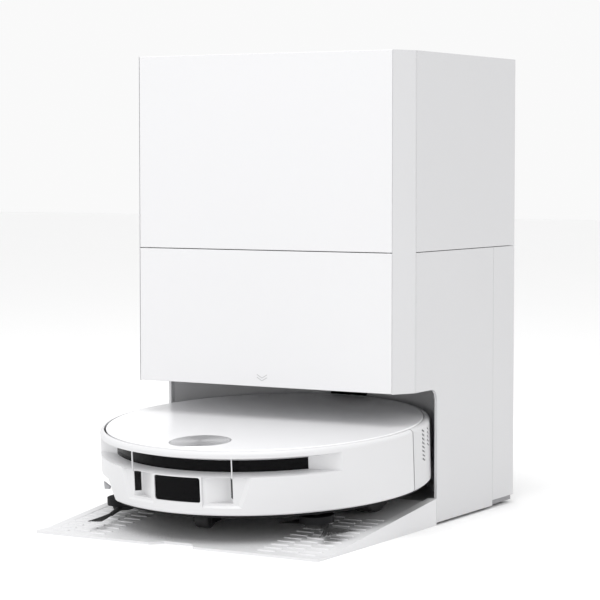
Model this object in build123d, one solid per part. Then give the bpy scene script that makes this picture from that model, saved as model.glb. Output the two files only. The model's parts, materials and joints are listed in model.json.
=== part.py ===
from build123d import *
import math
import os

# A robot vacuum parked in its base station.
# Frame: origin on the floor under the centre of the station's box, +X to the
# right, +Y to the back, +Z up, millimetres. The robot is drawn in a frame of its
# own: origin on its axis in the plane that its wheels stand on, front to -Y.

# Station, outer sizes
WIDTH = 340.0
DEPTH = 450.0
HEIGHT = 500.0
HALF = WIDTH / 2
BACK = DEPTH / 2
TRAY_FRONT = -DEPTH / 2
BODY_DEPTH = 273.6
FRONT = BACK - BODY_DEPTH
PANEL_HALF = 156.4
CHAMFER_DEPTH = 24.9
PANEL = 3.8
SEAM = 0.4
WALL = 3.0
SEAM_Z = 291.6
BAY_TOP = 145.6
BACK_SEAM_Y = 166.0
SIDE_WALL_Y = 28.4
BAY_RADIUS = 182.0
BAY_CORNER = 12.0
FEET = 3.0
COVER_BOTTOM = 9.0

# Blower and the grille that its air leaves by
BLOWER = (62.0, 196.0)
GRILLE_SLOTS = 11
GRILLE_PITCH = 6.4
GRILLE_Z = (98.0, 148.0)

# Entry ramp
LIP = 2.5
RAMP_SLOPE = 0.113
SKIRT_X = 160.0
TRACK_DROP = 0.8
NOTCH_HALF = 22.0
NOTCH_DEPTH = 14.0

# Robot placing and outer sizes
ROBOT_Y = -36.36
ROBOT_Z = 21.2
TILT = 4.09
R = 176.0
SHELL_BOTTOM = 23.5
RIM_TOP = 88.2
TOP = 89.0
SHELL = 3.2
COVER_R = 169.6
DECK_Z = (83.3, 85.2)
BUMPER_END = 91.0
BUMPER_GAP = 2.4
RUN = 0.06

# Sensor slot and camera recess in the bumper
SLOT_R = 160.0
SLOT_LOW = (65.0, 62.5)
SLOT_HIGH = (77.0, 81.5)
SLOT_END = 46.7
SLOT_MOUTH = 57.0
POST_ANGLE = 20.0
POST_WIDTH = 1.0
CAMERA_BLOCK = 29.0
CAMERA_HALF = 27.3
CAMERA_Z = (36.0, 61.5)
CAMERA_CORNER = 2.6
SIDE_PANE = (56.55, -160.37, 50.2)
SIDE_PANE_TURN = -42.0
SIDE_PANE_SIZE = (7.0, 1.4, 20.4)
RECESS_DEPTH = 2.2
RECESS_ANGLES = (22.9, 26.5)
RECESS_FLANK = 1.6
RECESS_Z = (31.2, 62.5)

# Chassis: a flat middle, with a cone that rises to the bumper's lower edge
PLATE_Z = (9.0, 12.0)
PLATE_R = 112.0
CONE_R = 171.0
CONE_RISE = 11.5

# Running gear
WHEEL_R = 35.0
WHEEL_X = (114.0, 136.0)
ARM_PIVOT = (-46.0, 40.0)
CASTER_R = 9.0
CASTER_Y = -125.0
CASTER_PIVOT_Y = -118.0
BRUSH_R = 16.0
BRUSH_Y = -18.0
BRUSH_Z = 18.0
SIDE_BRUSH = (118.0, -100.0)
SIDE_BRUSH_BOSS = 17.5
SIDE_BRUSH_BOSS_Z = (9.2, 16.5)
SIDE_BRUSH_REACH = {"left": 66.0, "right": 42.0}
SIDE_BRUSH_TURN = {"left": -80.0, "right": -24.0}
MOP = (70.0, 92.0)
MOP_R = 60.0
LIDAR = (0.0, -116.0)
LIDAR_R = 30.0
BUTTON = (0.0, -128.0)
BUTTON_R = 31.6

# Water tanks
TANK_Z = (297.0, 494.0)
LID_Z = (494.4, 500.0)
TANK_X = (3.0, 155.0)
TANK_Y = (-34.0, 148.0)
HANDLE_PIVOT = (88.0, 497.8)

ROBOT = Location((0, ROBOT_Y, ROBOT_Z), (TILT, 0, 0))
PARTS = {}


def block(x, y, z):
    """A box between pairs of X, Y and Z."""
    middle = [(pair[0] + pair[1]) / 2 for pair in (x, y, z)]
    size = [abs(pair[1] - pair[0]) for pair in (x, y, z)]
    return Pos(*middle) * Box(*size)


def disc(radius, z, at=(0.0, 0.0)):
    """An upright cylinder between two heights."""
    return Pos(at[0], at[1], (z[0] + z[1]) / 2) * Cylinder(radius, z[1] - z[0])


def ring(inner, outer, z, at=(0.0, 0.0)):
    return disc(outer, z, at) - disc(inner, z, at)


def rod_x(radius, x, y, z):
    """A cylinder along X at a given Y and Z."""
    middle = Pos((x[0] + x[1]) / 2, y, z)
    return middle * Rot(0, 90, 0) * Cylinder(radius, abs(x[1] - x[0]))


def rod_y(radius, y, x, z):
    """A cylinder along Y at a given X and Z."""
    middle = Pos(x, (y[0] + y[1]) / 2, z)
    return middle * Rot(90, 0, 0) * Cylinder(radius, abs(y[1] - y[0]))


def prism(points, z):
    """A polygon in plan, raised between two heights."""
    face = Plane.XY.offset(z[0]) * Polygon(*points, align=None)
    return extrude(face, amount=z[1] - z[0], dir=(0, 0, 1))


def side_prism(points, x):
    """A polygon in the YZ plane, drawn out between two X."""
    face = Plane.YZ.offset(x[0]) * Polygon(*points, align=None)
    return extrude(face, amount=x[1] - x[0], dir=(1, 0, 0))


def turned(points):
    """A profile of radius and height, turned about the robot's axis."""
    return revolve(Plane.XZ * Polygon(*points, align=None), axis=Axis.Z)


def polar(radius, angle):
    """A point at an angle from the robot's nose, towards +X."""
    turn = math.radians(angle)
    return (radius * math.sin(turn), -radius * math.cos(turn))


def sector(start, end, z, reach=400.0):
    """A wedge of the plan between two angles from the nose."""
    steps = 8
    rim = [polar(reach, start + (end - start) * i / steps) for i in range(steps + 1)]
    return prism([(0.0, 0.0)] + rim, z)


def both(shape):
    """A shape and its mirror image across X = 0."""
    return shape + mirror(shape, about=Plane.YZ)


def keep(name, shape, on_robot=False):
    """Stores a finished piece, set down in the station if it is on the robot."""
    PARTS[name] = ROBOT * shape if on_robot else shape


def floor_plane(height):
    """Everything below a height in the robot's own frame."""
    return ROBOT * block((-400, 400), (-400, 400), (-300, height))


# Station shells


def housing_plan(inset, back_y):
    """The plan of a housing behind the front panels and corner pillars."""
    side = HALF - inset
    front = FRONT + PANEL + 0.6 + inset
    right = [
        (148.6 - inset, front),
        (148.6 - inset, -37.8 + 0.3 * inset),
        (159.8 - 0.53 * inset, -20.6 + inset),
        (side, -20.6 + inset),
        (side, back_y - inset),
    ]
    left = [(-x, y) for x, y in reversed(right)]
    return right + left


def rear_corners(shape, radius=6.0):
    """Rounds the upright corners at the back of a shell."""
    edges = [
        edge
        for edge in shape.edges().filter_by(Axis.Z)
        if edge.center().Y > BACK - 0.1 and abs(edge.center().X) > HALF - 0.1
    ]
    return fillet(edges, radius)


def tank_plan(grow=0.0):
    """The plan of the right-hand tank, cut off at its front outer corner."""
    return [
        (TANK_X[0] - grow, TANK_Y[0] - grow),
        (141.0 + grow * 0.6, TANK_Y[0] - grow),
        (TANK_X[1] + grow, -13.0 - grow * 0.6),
        (TANK_X[1] + grow, TANK_Y[1] + grow),
        (TANK_X[0] - grow, TANK_Y[1] + grow),
    ]


def upper_housing():
    z = (SEAM_Z + SEAM, HEIGHT)
    shell = rear_corners(prism(housing_plan(0, BACK), z))
    shell -= prism(housing_plan(WALL, BACK), (z[0] + WALL, z[1] - WALL))
    shell += block((-1.0, 1.0), (FRONT + PANEL + 1, 152.0), (z[0], HEIGHT - 1))
    shell += block((-HALF + 1, HALF - 1), (150.0, 152.0), (z[0], HEIGHT - 1))
    shell -= both(prism(tank_plan(0.5), (HEIGHT - WALL - 1, HEIGHT + 1)))
    keep("upper_housing", shell)


def lower_housing():
    z = (BAY_TOP, SEAM_Z - SEAM)
    end = BACK_SEAM_Y - SEAM
    shell = prism(housing_plan(0, end), z)
    shell -= prism(housing_plan(WALL, end), (z[0] + WALL, z[1] + 1))
    shell -= block((-140, 140), (FRONT - 1, FRONT + 12), (152, 286))
    shell += both(block((103, 106), (-38, 121), (z[0] + 1, z[1])))
    shell += block((-106, 106), (118, 121), (z[0] + 1, z[1]))
    shell -= block((-24, 24), (110, 130), (204, 240))
    shell -= block((-104, -76), (135.5, 160.5), (140, 150))
    wall = block((HALF - WALL, HALF), (SIDE_WALL_Y, end), (FEET, BAY_TOP + 1))
    web = block(
        (HALF - WALL, HALF),
        (SIDE_WALL_Y - BAY_CORNER, SIDE_WALL_Y + 1),
        (BAY_TOP - BAY_CORNER, BAY_TOP + 1),
    )
    corner = (SIDE_WALL_Y - BAY_CORNER, BAY_TOP - BAY_CORNER)
    web -= rod_x(BAY_CORNER, (HALF - 10, HALF + 10), *corner)
    shell += both(wall + web)
    arc = ring(BAY_RADIUS, BAY_RADIUS + WALL, (10, BAY_TOP + 1), (0, ROBOT_Y))
    arc &= block((-HALF + 2, HALF - 2), (SIDE_WALL_Y + 8, 200), (0, 200))
    arc -= floor_plane(-4.4)
    shell += arc
    shell -= block((-22.6, 22.6), (130, 160), (120.4, 133.6))
    shell -= both(block((17, 33), (130, 160), (58.5, 77.5)))
    shell -= block((-104, -76), (100, 140), (62, 88))
    keep("lower_housing", shell)


def back_cover():
    z = (COVER_BOTTOM, SEAM_Z - SEAM)
    shell = rear_corners(block((-HALF, HALF), (BACK_SEAM_Y, BACK), z))
    shell -= block(
        (-HALF + WALL, HALF - WALL),
        (BACK_SEAM_Y - 1, BACK - WALL),
        (z[0] + WALL, z[1] - WALL),
    )
    for x in (-155, 155):
        for height in (26, 276):
            shell += rod_y(6.0, (BACK_SEAM_Y + 2, BACK - 1), x, height)
            shell -= rod_y(1.8, (BACK_SEAM_Y, BACK + 1), x, height)
            shell -= rod_y(3.6, (BACK - 2.6, BACK + 1), x, height)
    shell -= block((108.5, 131.5), (BACK - 10, BACK + 1), (22, 40))
    for i in range(GRILLE_SLOTS):
        x = BLOWER[0] + GRILLE_PITCH * (i - (GRILLE_SLOTS - 1) / 2)
        shell -= block((x - 1.5, x + 1.5), (BACK - 2 * WALL, BACK + 1), GRILLE_Z)
    keep("back_cover", shell)


def base_screws():
    screws = []
    for x in (-155, 155):
        for height in (26, 276):
            screw = rod_y(1.74, (BACK_SEAM_Y + 4, BACK - 2.4), x, height)
            screw += rod_y(3.4, (BACK - 2.5, BACK - 0.4), x, height)
            slot = block((x - 2.4, x + 2.4), (BACK - 1.2, BACK), (height - 0.4, height + 0.4))
            screws.append(screw - slot)
    keep("dock_screws", Compound(screws))


def base_frame():
    top = [
        (SIDE_WALL_Y + SEAM, FEET),
        (SIDE_WALL_Y + SEAM, 21.0),
        (146.0, 29.4),
        (165.0, 29.4),
        (165.0, COVER_BOTTOM - 0.4),
        (BACK - 4, COVER_BOTTOM - 0.4),
        (BACK - 4, FEET),
    ]
    hollow = [(34.0, -1.0), (34.0, 18.4), (144.0, 26.4), (162.0, 26.4), (162.0, -1.0)]
    frame = side_prism(top, (-HALF + 3.6, HALF - 3.6))
    frame -= side_prism(hollow, (-HALF + 7, -2))
    frame -= side_prism(hollow, (2, HALF - 7))
    keep("base_frame", frame)


def feet():
    spots = [(150, 212), (-150, 212), (163, 31.6), (-163, 31.6)]
    sizes = [9.0, 9.0, 2.6, 2.6]
    pads = [disc(size, (0, FEET), spot) for spot, size in zip(spots, sizes)]
    keep("dock_feet", Compound(pads))


def pillar(side):
    outline = [
        (PANEL_HALF + SEAM, FRONT),
        (HALF, FRONT + CHAMFER_DEPTH),
        (HALF, -21.0),
        (160.0, -21.0),
        (149.0, -38.0),
        (149.0, FRONT + PANEL + SEAM),
        (PANEL_HALF + SEAM, FRONT + PANEL + SEAM),
    ]
    post = prism(outline, (BAY_TOP, HEIGHT))
    return post if side > 0 else mirror(post, about=Plane.YZ)


def front_panels():
    flat = (FRONT, FRONT + PANEL)
    panel = block((-PANEL_HALF, PANEL_HALF), flat, (SEAM_Z + SEAM, HEIGHT))
    keep("upper_front_panel", fillet(panel.faces().sort_by(Axis.Y)[0].edges(), 0.8))
    door = block((-PANEL_HALF, PANEL_HALF), flat, (BAY_TOP + 0.4, SEAM_Z - SEAM))
    door = fillet(door.faces().sort_by(Axis.Y)[0].edges(), 0.8)
    rim = block((-138, 138), (FRONT + PANEL - 1, FRONT + 9), (154, 284))
    rim -= block((-134, 134), (FRONT + PANEL, FRONT + 20), (158, 280))
    keep("dust_door", door + rim)


def ramp_tray():
    rise = 0.1 + RAMP_SLOPE * (SIDE_WALL_Y - SEAM - TRAY_FRONT)
    lip_end = TRAY_FRONT + LIP / RAMP_SLOPE
    rear = SIDE_WALL_Y - SEAM
    tray = side_prism(
        [(TRAY_FRONT, 0), (TRAY_FRONT, LIP), (lip_end, LIP), (rear, rise), (rear, 0)],
        (-HALF, HALF),
    )
    slope = (rise - LIP) / (rear - lip_end)
    crest = LIP + slope * (ROBOT_Y - lip_end) - TRACK_DROP
    track = side_prism(
        [
            (lip_end, LIP),
            (ROBOT_Y, crest),
            (rear + 1, crest + math.tan(math.radians(TILT)) * (rear + 1 - ROBOT_Y)),
            (rear + 1, 60),
            (lip_end, 60),
        ],
        (-SKIRT_X, SKIRT_X),
    )
    tray -= track
    under = [(-190, -1), (-190, 1.6), (ROBOT_Y, crest - 3), (rear - 3, crest + 1), (rear - 3, -1)]
    for span in ((-157, -86), (-82, -2), (2, 82), (86, 157)):
        tray -= side_prism(under, span)
    notch = [
        (-NOTCH_HALF - 5, TRAY_FRONT - 1),
        (-NOTCH_HALF + 5, TRAY_FRONT + NOTCH_DEPTH),
        (NOTCH_HALF - 5, TRAY_FRONT + NOTCH_DEPTH),
        (NOTCH_HALF + 5, TRAY_FRONT - 1),
    ]
    tray -= prism(notch, (-1, 20))
    corners = [
        edge
        for edge in tray.edges().filter_by(Axis.Z)
        if edge.center().Y < TRAY_FRONT + 0.1 and abs(edge.center().X) > HALF - 0.1
    ]
    keep("ramp_tray", fillet(corners, 5.0))


def washboard():
    front = SIDE_WALL_Y + 0.6
    plate = disc(BAY_RADIUS - 0.6, (-4.4, -0.9))
    for side in (-1, 1):
        for i in range(8):
            turn = 22.5 + 45 * i
            rib = Pos(side * MOP[0], MOP[1], -0.7) * Rot(0, 0, turn) * Pos(34, 0, 0) * Box(40, 3, 0.8)
            plate += rib
    board = ROBOT * plate
    board &= block((-HALF + 3.6, HALF - 3.6), (front, 200), (0, 100))
    keep("washboard", board)


# Station internals


def impeller(radius, z, bore, blades, at):
    wheel = disc(radius, (z[0], z[0] + 2), at) + disc(bore * 2.4, z, at)
    for i in range(blades):
        vane = Pos(at[0], at[1], (z[0] + z[1]) / 2) * Rot(0, 0, 360 * i / blades)
        reach = radius - 1.5 - bore
        wheel += vane * Pos(bore + reach / 2, 0, 0) * Box(reach, 1.4, z[1] - z[0])
    return wheel


def dust_parts():
    bag = fillet(block((-74, 74), (-32, 84), (162, 272)).edges().filter_by(Axis.Y), 16)
    bag -= rod_y(17, (60, 90), 0, 222)
    keep("dust_bag", bag)
    collar = block((-40, 40), (84.4, 88), (186, 258)) + rod_y(16.6, (64, 123.5), 0, 222)
    collar -= rod_y(14, (60, 130), 0, 222)
    keep("bag_collar", collar)
    duct = block((-103.5, -76.5), (100, 160), (62.5, 87.5))
    duct += block((-103.5, -76.5), (136, 160), (62.5, 238))
    duct += block((-103.5, 22), (124, 160), (206, 238))
    duct -= block((-101, -79), (90, 157.5), (65, 85))
    duct -= block((-101, -79), (138.5, 157.5), (65, 235.5))
    duct -= block((-101, 19.5), (126.5, 157.5), (208.5, 235.5))
    duct -= rod_y(14, (120, 130), 0, 222)
    duct -= disc(BAY_RADIUS + 0.4, (0, 200), (0, ROBOT_Y))
    keep("dust_duct", duct)


def blower():
    shell = disc(26, (96, 150), BLOWER) - disc(23.4, (98.5, 147.5), BLOWER)
    shell -= disc(12, (140, 152), BLOWER)
    shell += block((80, 120), (186, 206), (110, 134)) - block((70, 121), (188, 204), (112, 132))
    shell -= disc(23.4, (98.5, 147.5), BLOWER)
    keep("dock_blower", shell)
    keep("dock_impeller", impeller(21.0, (104, 140), 4.0, 9, BLOWER))


def service_parts():
    supply = block((-146, -70), (174, 212), (34, 126))
    for i in range(7):
        x = -141 + 10.5 * i
        supply -= block((x, x + 5), (172, 176), (42, 118))
    keep("power_supply", supply)
    inlet = block((109, 131), (BACK - 20, BACK - 0.6), (22.5, 39.5))
    inlet -= block((111, 129), (BACK - 14, BACK + 1), (24.5, 37.5))
    for x in (116, 124):
        inlet += rod_y(1.2, (BACK - 16, BACK - 4), x, 31)
    keep("power_inlet", inlet)
    pump = rod_x(14, (20, 60), 190, 330) + rod_x(4, (60, 74), 190, 330)
    pump += rod_x(9, (8, 20), 190, 330) + block((24, 56), (178, 202), (313, 320))
    keep("water_pump", pump)
    keep("drying_fan", impeller(15.0, (62, 76), 3.0, 7, (142.0, 130.0)))
    keep("ir_window", block((-22, 22), (140.2, 150), (121, 133)))
    contact = block((17.6, 32.4), (137.0, 152), (60, 76))
    contact = fillet(contact.faces().sort_by(Axis.Y)[0].edges(), 2.0)
    keep("charge_contacts", Compound(list(both(contact).solids())))


def tank(side, name):
    mirrored = (lambda s: s) if side > 0 else (lambda s: mirror(s, about=Plane.YZ))
    body = prism(tank_plan(), TANK_Z)
    body -= prism(tank_plan(-2.5), (TANK_Z[0] + 3, TANK_Z[1] + 1))
    keep(name, mirrored(body))
    lid = prism(tank_plan(), LID_Z)
    rear = lid.faces().sort_by(Axis.Y)[-1].edges().filter_by(Axis.X)
    lid = fillet(rear, 2.75)
    lid += block((30.5, 127.5), (39.5, 94.5), (482, 495))
    lid -= block((33, 125), (42, 92), (484.5, 501))
    lid -= rod_x(1.46, (29.6, 128.4), *HANDLE_PIVOT)
    keep(name + "_lid", mirrored(lid))
    grip = block((35, 123), (44, 56), (496.0, 499.6))
    y, z = HANDLE_PIVOT
    for x in ((35, 43), (115, 123)):
        grip += block(x, (50, y), (496.0, 499.6)) + rod_x(1.8, x, y, z)
    grip += rod_x(1.4, (30, 36), y, z) + rod_x(1.4, (122, 128), y, z)
    keep(name + "_handle", mirrored(grip))


# Robot shells


def shell_ring(rim_inner):
    """The robot's outer wall with its rounded rim, as a full ring."""
    inner = R - SHELL
    foot = (inner, SHELL_BOTTOM)
    line = Polyline(foot, (R - 1.5, SHELL_BOTTOM), (R, SHELL_BOTTOM + 1.5), (R, 83.4))
    bend = ThreePointArc((R, 83.4), (R - 1.0, 86.7), (R - 3.6, RIM_TOP))
    top = [(R - 3.6, RIM_TOP), (rim_inner, RIM_TOP), (rim_inner, 85.6), (inner, 84.0), foot]
    rest = Polyline(*top)
    face = make_face(Plane.XZ * (line + bend + rest))
    return revolve(face, axis=Axis.Z)


def slot_region(grow, z):
    """The plan of the sensor slot: its cheeks run from the window to the mouth."""
    inner = polar(SLOT_R, SLOT_END)
    outer = polar(R, SLOT_MOUTH)
    run = (outer[0] - inner[0], outer[1] - inner[1])
    length = math.hypot(*run)
    shift = (-run[1] / length * grow, run[0] / length * grow)
    near = (inner[0] + shift[0], inner[1] + shift[1])
    far = (near[0] + 3 * run[0], near[1] + 3 * run[1])
    right = [near, far, (far[0], -300.0)]
    left = [(-x, y) for x, y in reversed(right)]
    return prism(right + left + [(0.0, -100.0)], z)


def slot_profile(grow, outer):
    """The slot's section: floor and ceiling spread from window to mouth."""
    run = R - SLOT_R
    low = (SLOT_LOW[1] - SLOT_LOW[0]) / run
    high = (SLOT_HIGH[1] - SLOT_HIGH[0]) / run
    reach = outer - SLOT_R
    return [
        (SLOT_R, SLOT_LOW[0] - grow),
        (SLOT_R, SLOT_HIGH[0] + grow),
        (outer, SLOT_HIGH[0] + grow + high * reach),
        (outer, SLOT_LOW[0] - grow + low * reach),
    ]


def channel(grow, z):
    """The deep channel beside the camera that lets a side window look in."""
    near = CAMERA_BLOCK - grow
    corners = [
        (near, -176.5),
        (near, -173.5 + 0.4 * grow),
        (52.1, -156.4 + 1.35 * grow),
        (62.6 + 1.35 * grow, -165.9),
        (62.6 + 1.35 * grow, -178.0),
    ]
    return both(prism(corners, z))


def brush_notch(reach):
    """The cut-out in the left corner that the side brush reaches out of."""
    points = [(60, 2), (57, 22), (37, 42), (34, 44), (-60, 44), (-72, 32), (-72, 2)]
    face = Plane.YZ * Polygon(*points, align=None)
    bar = Pos(reach, 0, 0) * extrude(face, amount=60, dir=(1, 0, 0))
    return Rot(0, 0, -90 - 50) * bar


def bumper():
    wall = shell_ring(R - 4.2) & sector(-BUMPER_END, BUMPER_END, (0, 120))
    void = turned(slot_profile(0, R + 4)) & slot_region(0, (40, 100))
    liner = turned(slot_profile(1.6, R - 1.5)) & slot_region(1.8, (40, 100))
    wall += liner
    backing = ring(R - RECESS_DEPTH - 2.4, R - 1, (RECESS_Z[0] - 2, RECESS_Z[1] + 1))
    wall += backing & sector(-RECESS_ANGLES[1] - 3, RECESS_ANGLES[1] + 3, (0, 100))
    pocket = channel(2.0, (33.5, 63.4)) & disc(R - 0.8, (0, 100))
    wall += pocket
    wall -= channel(0, (35.5, 61.6))
    wall -= camera_recess()
    wall -= void
    for angle in (-POST_ANGLE, POST_ANGLE):
        half = POST_WIDTH / 2
        post = Rot(0, 0, angle) * block((-half, half), (-R + 0.6, -R + 1.8), (61, 83.5))
        wall += post
    wall -= camera_pane(R - 10, R + 4)
    for side in (-1, 1):
        wall -= side_window(side, 5.0)
    wall -= brush_notch(130.0)
    keep("bumper", max(wall.solids(), key=lambda s: s.volume), on_robot=True)


def camera_recess():
    """The shallow recess round the camera: slanted flanks and a sloping lower ledge."""
    faces = []
    for angle, height in zip(RECESS_ANGLES, RECESS_Z):
        foot = polar(R - RECESS_DEPTH, angle - RECESS_FLANK)
        edge = polar(R, angle)
        beyond = (edge[0] + 2 * (edge[0] - foot[0]), edge[1] + 2 * (edge[1] - foot[1]))
        right = [foot, beyond, (beyond[0], -240.0)]
        left = [(-x, y) for x, y in reversed(right)]
        faces.append(Plane.XY.offset(height) * Polygon(*right, *left, align=None))
    low, high = RECESS_Z
    inner = R - RECESS_DEPTH
    ledge = turned([(inner, low + 2.2), (R, low), (R + 4, low - 2.9), (R + 4, high), (inner, high)])
    recess = loft(faces, ruled=True) & ledge
    return recess - block((-CAMERA_BLOCK, CAMERA_BLOCK), (-200, 0), (0, 100))


def camera_pane(inner, outer):
    """The rounded pane of the camera window, between two radii."""
    low, high = CAMERA_Z
    outline = RectangleRounded(2 * CAMERA_HALF, high - low, CAMERA_CORNER)
    front = Plane.XZ * Pos(0, (low + high) / 2) * outline
    return extrude(front, amount=300, dir=(0, -1, 0)) & ring(inner, outer, (0, 100))


def side_window(side, depth):
    """A narrow window set in the outer wall of a camera channel."""
    width, thickness, height = SIDE_PANE_SIZE
    back = thickness + 0.3
    pane = Rot(0, 0, SIDE_PANE_TURN) * Pos(0, back - depth / 2, 0) * Box(width, depth, height)
    pane = Pos(*SIDE_PANE) * pane
    return pane if side > 0 else mirror(pane, about=Plane.YZ)


def windows():
    band = ring(SLOT_R - 3, SLOT_R - 0.1, (63.4, 78.6)) & sector(-49, 49, (0, 100))
    keep("sensor_window", band, on_robot=True)
    panes = [camera_pane(R - 4.0, R - 1.6)]
    panes += [side_window(side, SIDE_PANE_SIZE[1]) for side in (-1, 1)]
    solids = [solid for pane in panes for solid in pane.solids()]
    keep("camera_window", Compound(solids), on_robot=True)


def vents(angle, z, count, side):
    """A column of slanted slots in the side of the rear shell."""
    cut = []
    for i in range(count):
        height = z[0] + (z[1] - z[0]) * (i + 0.5) / count
        slot = Pos(0, -R, height) * Rot(0, side * 24, 0) * Box(9.0, 14.0, 2.1)
        cut.append(Rot(0, 0, side * angle) * slot)
    return cut


def rear_shell():
    gap = math.degrees(BUMPER_GAP / R)
    wall = shell_ring(COVER_R + 0.7) - sector(-BUMPER_END - gap, BUMPER_END + gap, (0, 120))
    for side in (-1, 1):
        for slot in vents(100.7, (49.5, 84.0), 8, side) + vents(107.5, (61.5, 82.5), 5, side):
            wall -= slot
    keep("rear_shell", wall, on_robot=True)


def top_parts():
    cover = disc(COVER_R, (85.5, TOP))
    cover = chamfer(cover.faces().sort_by(Axis.Z)[-1].edges(), 0.9)
    cover -= disc(BUTTON_R + 0.5, (80, 95), BUTTON)
    keep("top_cover", cover, on_robot=True)
    button = disc(BUTTON_R, (85.4, TOP + 0.4), BUTTON)
    button = chamfer(button.faces().sort_by(Axis.Z)[-1].edges(), 0.8)
    keep("power_button", button, on_robot=True)
    deck = disc(168.4, DECK_Z)
    deck -= block((-83, 83), (15, 113), (80, 90))
    deck -= disc(BUTTON_R + 1, (80, 90), BUTTON)
    for spot in ((150, 45), (-150, 45), (140, -72), (-140, -72)):
        deck += disc(5, (12, DECK_Z[1]), spot) - under_cone()
    keep("upper_frame", deck, on_robot=True)


# Robot chassis and running gear


def under_cone(lift=0.0):
    """Everything under the chassis's upper surface."""
    low = PLATE_Z[1] + lift
    high = low + CONE_RISE
    rim = CONE_R + 9
    return turned([(0, -20), (0, low), (PLATE_R, low), (CONE_R, high), (rim, high), (rim, -20)])


def chassis():
    shell = under_cone() - under_cone(PLATE_Z[0] - PLATE_Z[1])
    base = shell & disc(CONE_R, (0, SHELL_BOTTOM - 0.6))
    base += ring(CONE_R - 2.6, CONE_R, (SHELL_BOTTOM - 3, SHELL_BOTTOM - 0.6)) - under_cone(-1.0)
    above = disc(CONE_R + 9, (0, 90)) - under_cone(-1.0)
    for side in (-1, 1):
        posts = block((side * 86, side * 98.4), (-52, -41), (9, 46))
        posts += block((side * 90, side * 100), (-130, -126), (9, 52))
        posts += block((side * 34, side * 38), (-124, -108), (9, 62))
        posts += block((side * 26, side * 28), (-140, -100), (9, 25))
        base += posts & above
        base += rod_x(3, (side * 98, side * 111.6), *ARM_PIVOT)
        base -= block((side * 110, side * 140), (-42, 42), (0, 30))
        base -= disc(62.5, (0, 12.0), (side * MOP[0], MOP[1]))
        base -= disc(55, (0, 23.0), (side * MOP[0], MOP[1]))
    base -= block((-98.5, 98.5), (-40, 4), (0, 12.1))
    base -= disc(23, (0, 21.4), (0, -122))
    base += block((-38, 38), (-126, -106), (60, 62)) + block((-28, 28), (-140, -100), (22, 25))
    base -= disc(4 + RUN, (50, 70), LIDAR)
    base -= disc(5 + RUN, (15, 30), (0, CASTER_PIVOT_Y))
    base -= brush_notch(160.0)
    for side in (-1, 1):
        at = (side * SIDE_BRUSH[0], SIDE_BRUSH[1])
        base += disc(SIDE_BRUSH_BOSS, SIDE_BRUSH_BOSS_Z, at)
        base -= disc(4 + RUN, (0, 20.5), at)
    keep("chassis", max(base.solids(), key=lambda solid: solid.volume), on_robot=True)


def camera_module():
    box = block((-22, 22), (-167, -150), (40, 58)) + block((-10, 10), (-164, -154), (22.4, 41))
    box += rod_y(5.5, (-170, -166), 0, 45)
    keep("camera_module", box, on_robot=True)


def lidar():
    head = disc(LIDAR_R, (64, 78.6), LIDAR) + disc(4, (56, 65), LIDAR)
    for turn in (0, 120, 240):
        spot = Pos(LIDAR[0], LIDAR[1], 72) * Rot(0, 0, turn)
        head -= spot * Pos(0, -LIDAR_R, 0) * Box(20, 16, 6)
    keep("lidar_head", head, on_robot=True)


def wheel_set(side, name):
    x = (side * WHEEL_X[0], side * WHEEL_X[1])
    tyre = chamfer(rod_x(WHEEL_R, x, 0, WHEEL_R).edges(), 1.6)
    for i in range(24):
        turn = Pos(0, 0, WHEEL_R) * Rot(15 * i, 0, 0)
        tyre -= turn * Pos(side * 125, 0, WHEEL_R) * Box(26, 3.0, 2.4)
    tyre -= rod_x(3 + RUN, (side * 100, side * 150), 0, WHEEL_R)
    keep(name + "_drive_wheel", tyre, on_robot=True)
    arm = block((side * 99, side * 111), (-52, 12), (26, 50))
    arm += rod_x(3, (side * 110, side * 135.6), 0, WHEEL_R)
    arm -= rod_x(3 + RUN, (side * 90, side * 115), *ARM_PIVOT)
    keep(name + "_wheel_arm", arm, on_robot=True)


def caster():
    fork = disc(19, (17.4, 20.4), (0, CASTER_PIVOT_Y - 2)) + disc(5, (20, 30), (0, CASTER_PIVOT_Y))
    for side in (-1, 1):
        fork += block((side * 9, side * 11.5), (CASTER_Y - 4, CASTER_PIVOT_Y + 6), (4.6, 18))
    fork += rod_x(2, (-11, 11), CASTER_Y, CASTER_R - 1.5)
    keep("caster_fork", fork, on_robot=True)
    roller = chamfer(rod_x(CASTER_R, (-8, 8), CASTER_Y, CASTER_R - 1.5).edges(), 1.5)
    roller -= rod_x(2 + RUN, (-9, 9), CASTER_Y, CASTER_R - 1.5)
    keep("caster_wheel", roller, on_robot=True)


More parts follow.
